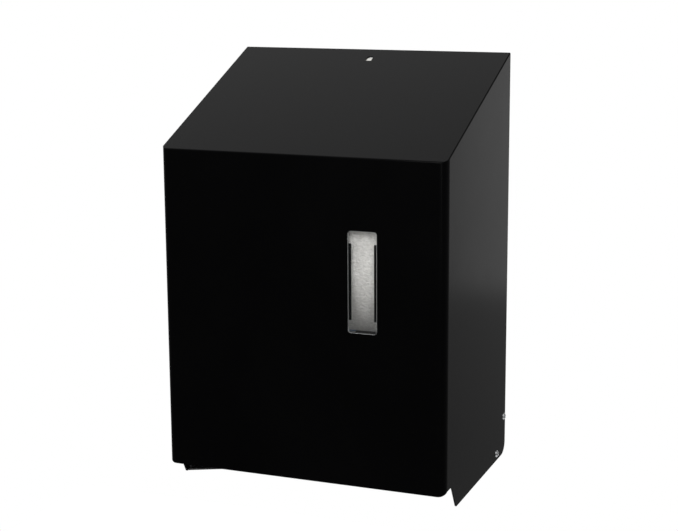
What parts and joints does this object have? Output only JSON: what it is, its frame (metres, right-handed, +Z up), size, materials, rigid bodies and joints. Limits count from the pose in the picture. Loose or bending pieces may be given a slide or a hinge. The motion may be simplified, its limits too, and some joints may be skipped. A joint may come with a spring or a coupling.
{
  "type": "automatic roll towel dispenser",
  "caption": "Wall-mounted roll towel dispenser with a black sloping hood, clear window, key latch, sprung roll arms, pressure roller and a feed drum with a geared cutting knife.",
  "frame": {"origin": "centre of the wall screw pattern, on the wall plane behind the wall plate", "axes": "+X to the right of someone facing the front, +Y into the wall, +Z up"},
  "size_m": [0.304, 0.2068, 0.4346],
  "materials": {
    "black_paint": "satin black powder coat",
    "clear": "clear moulded plastic",
    "zinc": "zinc-plated sheet",
    "bright_steel": "bright turned or plated",
    "spring_steel": "spring wire",
    "white_plastic": "natural acetal",
    "grey_plastic": "grained moulded grey",
    "black_plastic": "grained moulded black",
    "blue_plastic": "moulded blue",
    "rubber": "matt rubber",
    "bearing": "sintered bronze",
    "blade": "ground stainless",
    "cast": "extruded bar",
    "towel": "embossed white paper",
    "card": "spiral-wound board"
  },
  "bodies": {
    "chassis": {"wall_plate": "zinc", "hinge_pins": "bright_steel", "latch_bracket": "zinc", "latch_pin": "bright_steel", "latch_spring": "spring_steel", "left_arm_bracket": "zinc", "right_arm_bracket": "zinc", "arm_pins": "bright_steel", "left_arm_spring": "spring_steel", "right_arm_spring": "spring_steel", "left_cheek": "grey_plastic", "right_cheek": "grey_plastic", "wheel_guard": "black_plastic", "drum_bushes": "bearing", "rear_guide": "zinc", "front_guide": "zinc", "chassis_screws": "bright_steel", "spring_post": "bright_steel", "return_spring": "spring_steel", "yoke_springs": "spring_steel", "sun_gear": "white_plastic"},
    "hood": {"hood": "black_paint", "window": "clear", "left_hinge_plate": "zinc", "right_hinge_plate": "zinc", "hinge_screws": "bright_steel", "strike_plate": "zinc"},
    "latch": {"latch_lever": "white_plastic"},
    "drum": {"drum_upper_shell": "black_plastic", "drum_lower_shell": "black_plastic", "left_drum_cap": "grey_plastic", "right_drum_cap": "grey_plastic", "drum_axles": "bright_steel", "grip_bands": "rubber", "feed_wheel": "blue_plastic", "crank_disc": "grey_plastic"},
    "knife": {"knife_shaft": "bright_steel", "knife_carrier": "cast", "knife_blade": "blade", "blade_screws": "bright_steel", "planet_gear": "white_plastic"},
    "yoke": {"pressure_yoke": "blue_plastic"},
    "pressure_roller": {"pressure_shaft": "bright_steel", "pressure_sleeves": "rubber"},
    "left_arm": {"left_roll_arm": "grey_plastic"},
    "right_arm": {"right_roll_arm": "grey_plastic"},
    "left_hub": {"left_hub": "white_plastic"},
    "right_hub": {"right_hub": "white_plastic"},
    "towel_roll": {"towel_roll": "towel", "roll_core": "card"}
  },
  "joints": [
    {"name": "hood_swing", "type": "hinge", "parent": "chassis", "child": "hood", "pos_m": [0, -0.022, -0.192], "axis": [1, 0, 0], "range_deg": [0, 80]},
    {"name": "latch_press", "type": "hinge", "parent": "chassis", "child": "latch", "pos_m": [0, -0.009, 0.19992], "axis": [1, 0, 0], "range_deg": [0, 14], "stiffness_Nm_per_rad": 0.2, "springref_deg": -8.59, "deforming": ["latch_spring"]},
    {"name": "drum_spin", "type": "hinge", "parent": "chassis", "child": "drum", "pos_m": [0, -0.1, -0.118], "axis": [1, 0, 0], "continuous": true, "deforming": ["return_spring"]},
    {"name": "knife_spin", "type": "hinge", "parent": "drum", "child": "knife", "pos_m": [0, -0.066, -0.118], "axis": [1, 0, 0], "continuous": true},
    {"name": "yoke_lift", "type": "hinge", "parent": "chassis", "child": "yoke", "pos_m": [0, -0.038, -0.07], "axis": [-1, 0, 0], "range_deg": [0, 16], "stiffness_Nm_per_rad": 0.8, "springref_deg": -14.32, "deforming": ["yoke_springs"]},
    {"name": "pressure_roller_spin", "type": "hinge", "parent": "yoke", "child": "pressure_roller", "pos_m": [0, -0.07098, -0.07655], "axis": [1, 0, 0], "continuous": true},
    {"name": "left_arm_swing", "type": "hinge", "parent": "chassis", "child": "left_arm", "pos_m": [-0.1123, -0.012, 0.038], "axis": [0, 0, -1], "range_deg": [0, 14], "stiffness_Nm_per_rad": 0.8, "springref_deg": -11.46, "deforming": ["left_arm_spring"]},
    {"name": "right_arm_swing", "type": "hinge", "parent": "chassis", "child": "right_arm", "pos_m": [0.1123, -0.012, 0.038], "axis": [0, 0, 1], "range_deg": [0, 14], "stiffness_Nm_per_rad": 0.8, "springref_deg": -11.46, "deforming": ["right_arm_spring"]},
    {"name": "roll_spin", "type": "hinge", "parent": "chassis", "child": "towel_roll", "pos_m": [0, -0.104, 0.038], "axis": [1, 0, 0], "continuous": true},
    {"name": "left_hub_spin", "type": "hinge", "parent": "left_arm", "child": "left_hub", "pos_m": [-0.1, -0.104, 0.038], "axis": [1, 0, 0], "continuous": true},
    {"name": "right_hub_spin", "type": "hinge", "parent": "right_arm", "child": "right_hub", "pos_m": [0.1, -0.104, 0.038], "axis": [1, 0, 0], "continuous": true}
  ],
  "couplings": [
    {"joint": "knife_spin", "follows": "drum_spin", "ratio": 1},
    {"joint": "pressure_roller_spin", "follows": "drum_spin", "ratio": -3.7905},
    {"joint": "left_hub_spin", "follows": "roll_spin", "ratio": 1},
    {"joint": "right_hub_spin", "follows": "roll_spin", "ratio": 1}
  ]
}
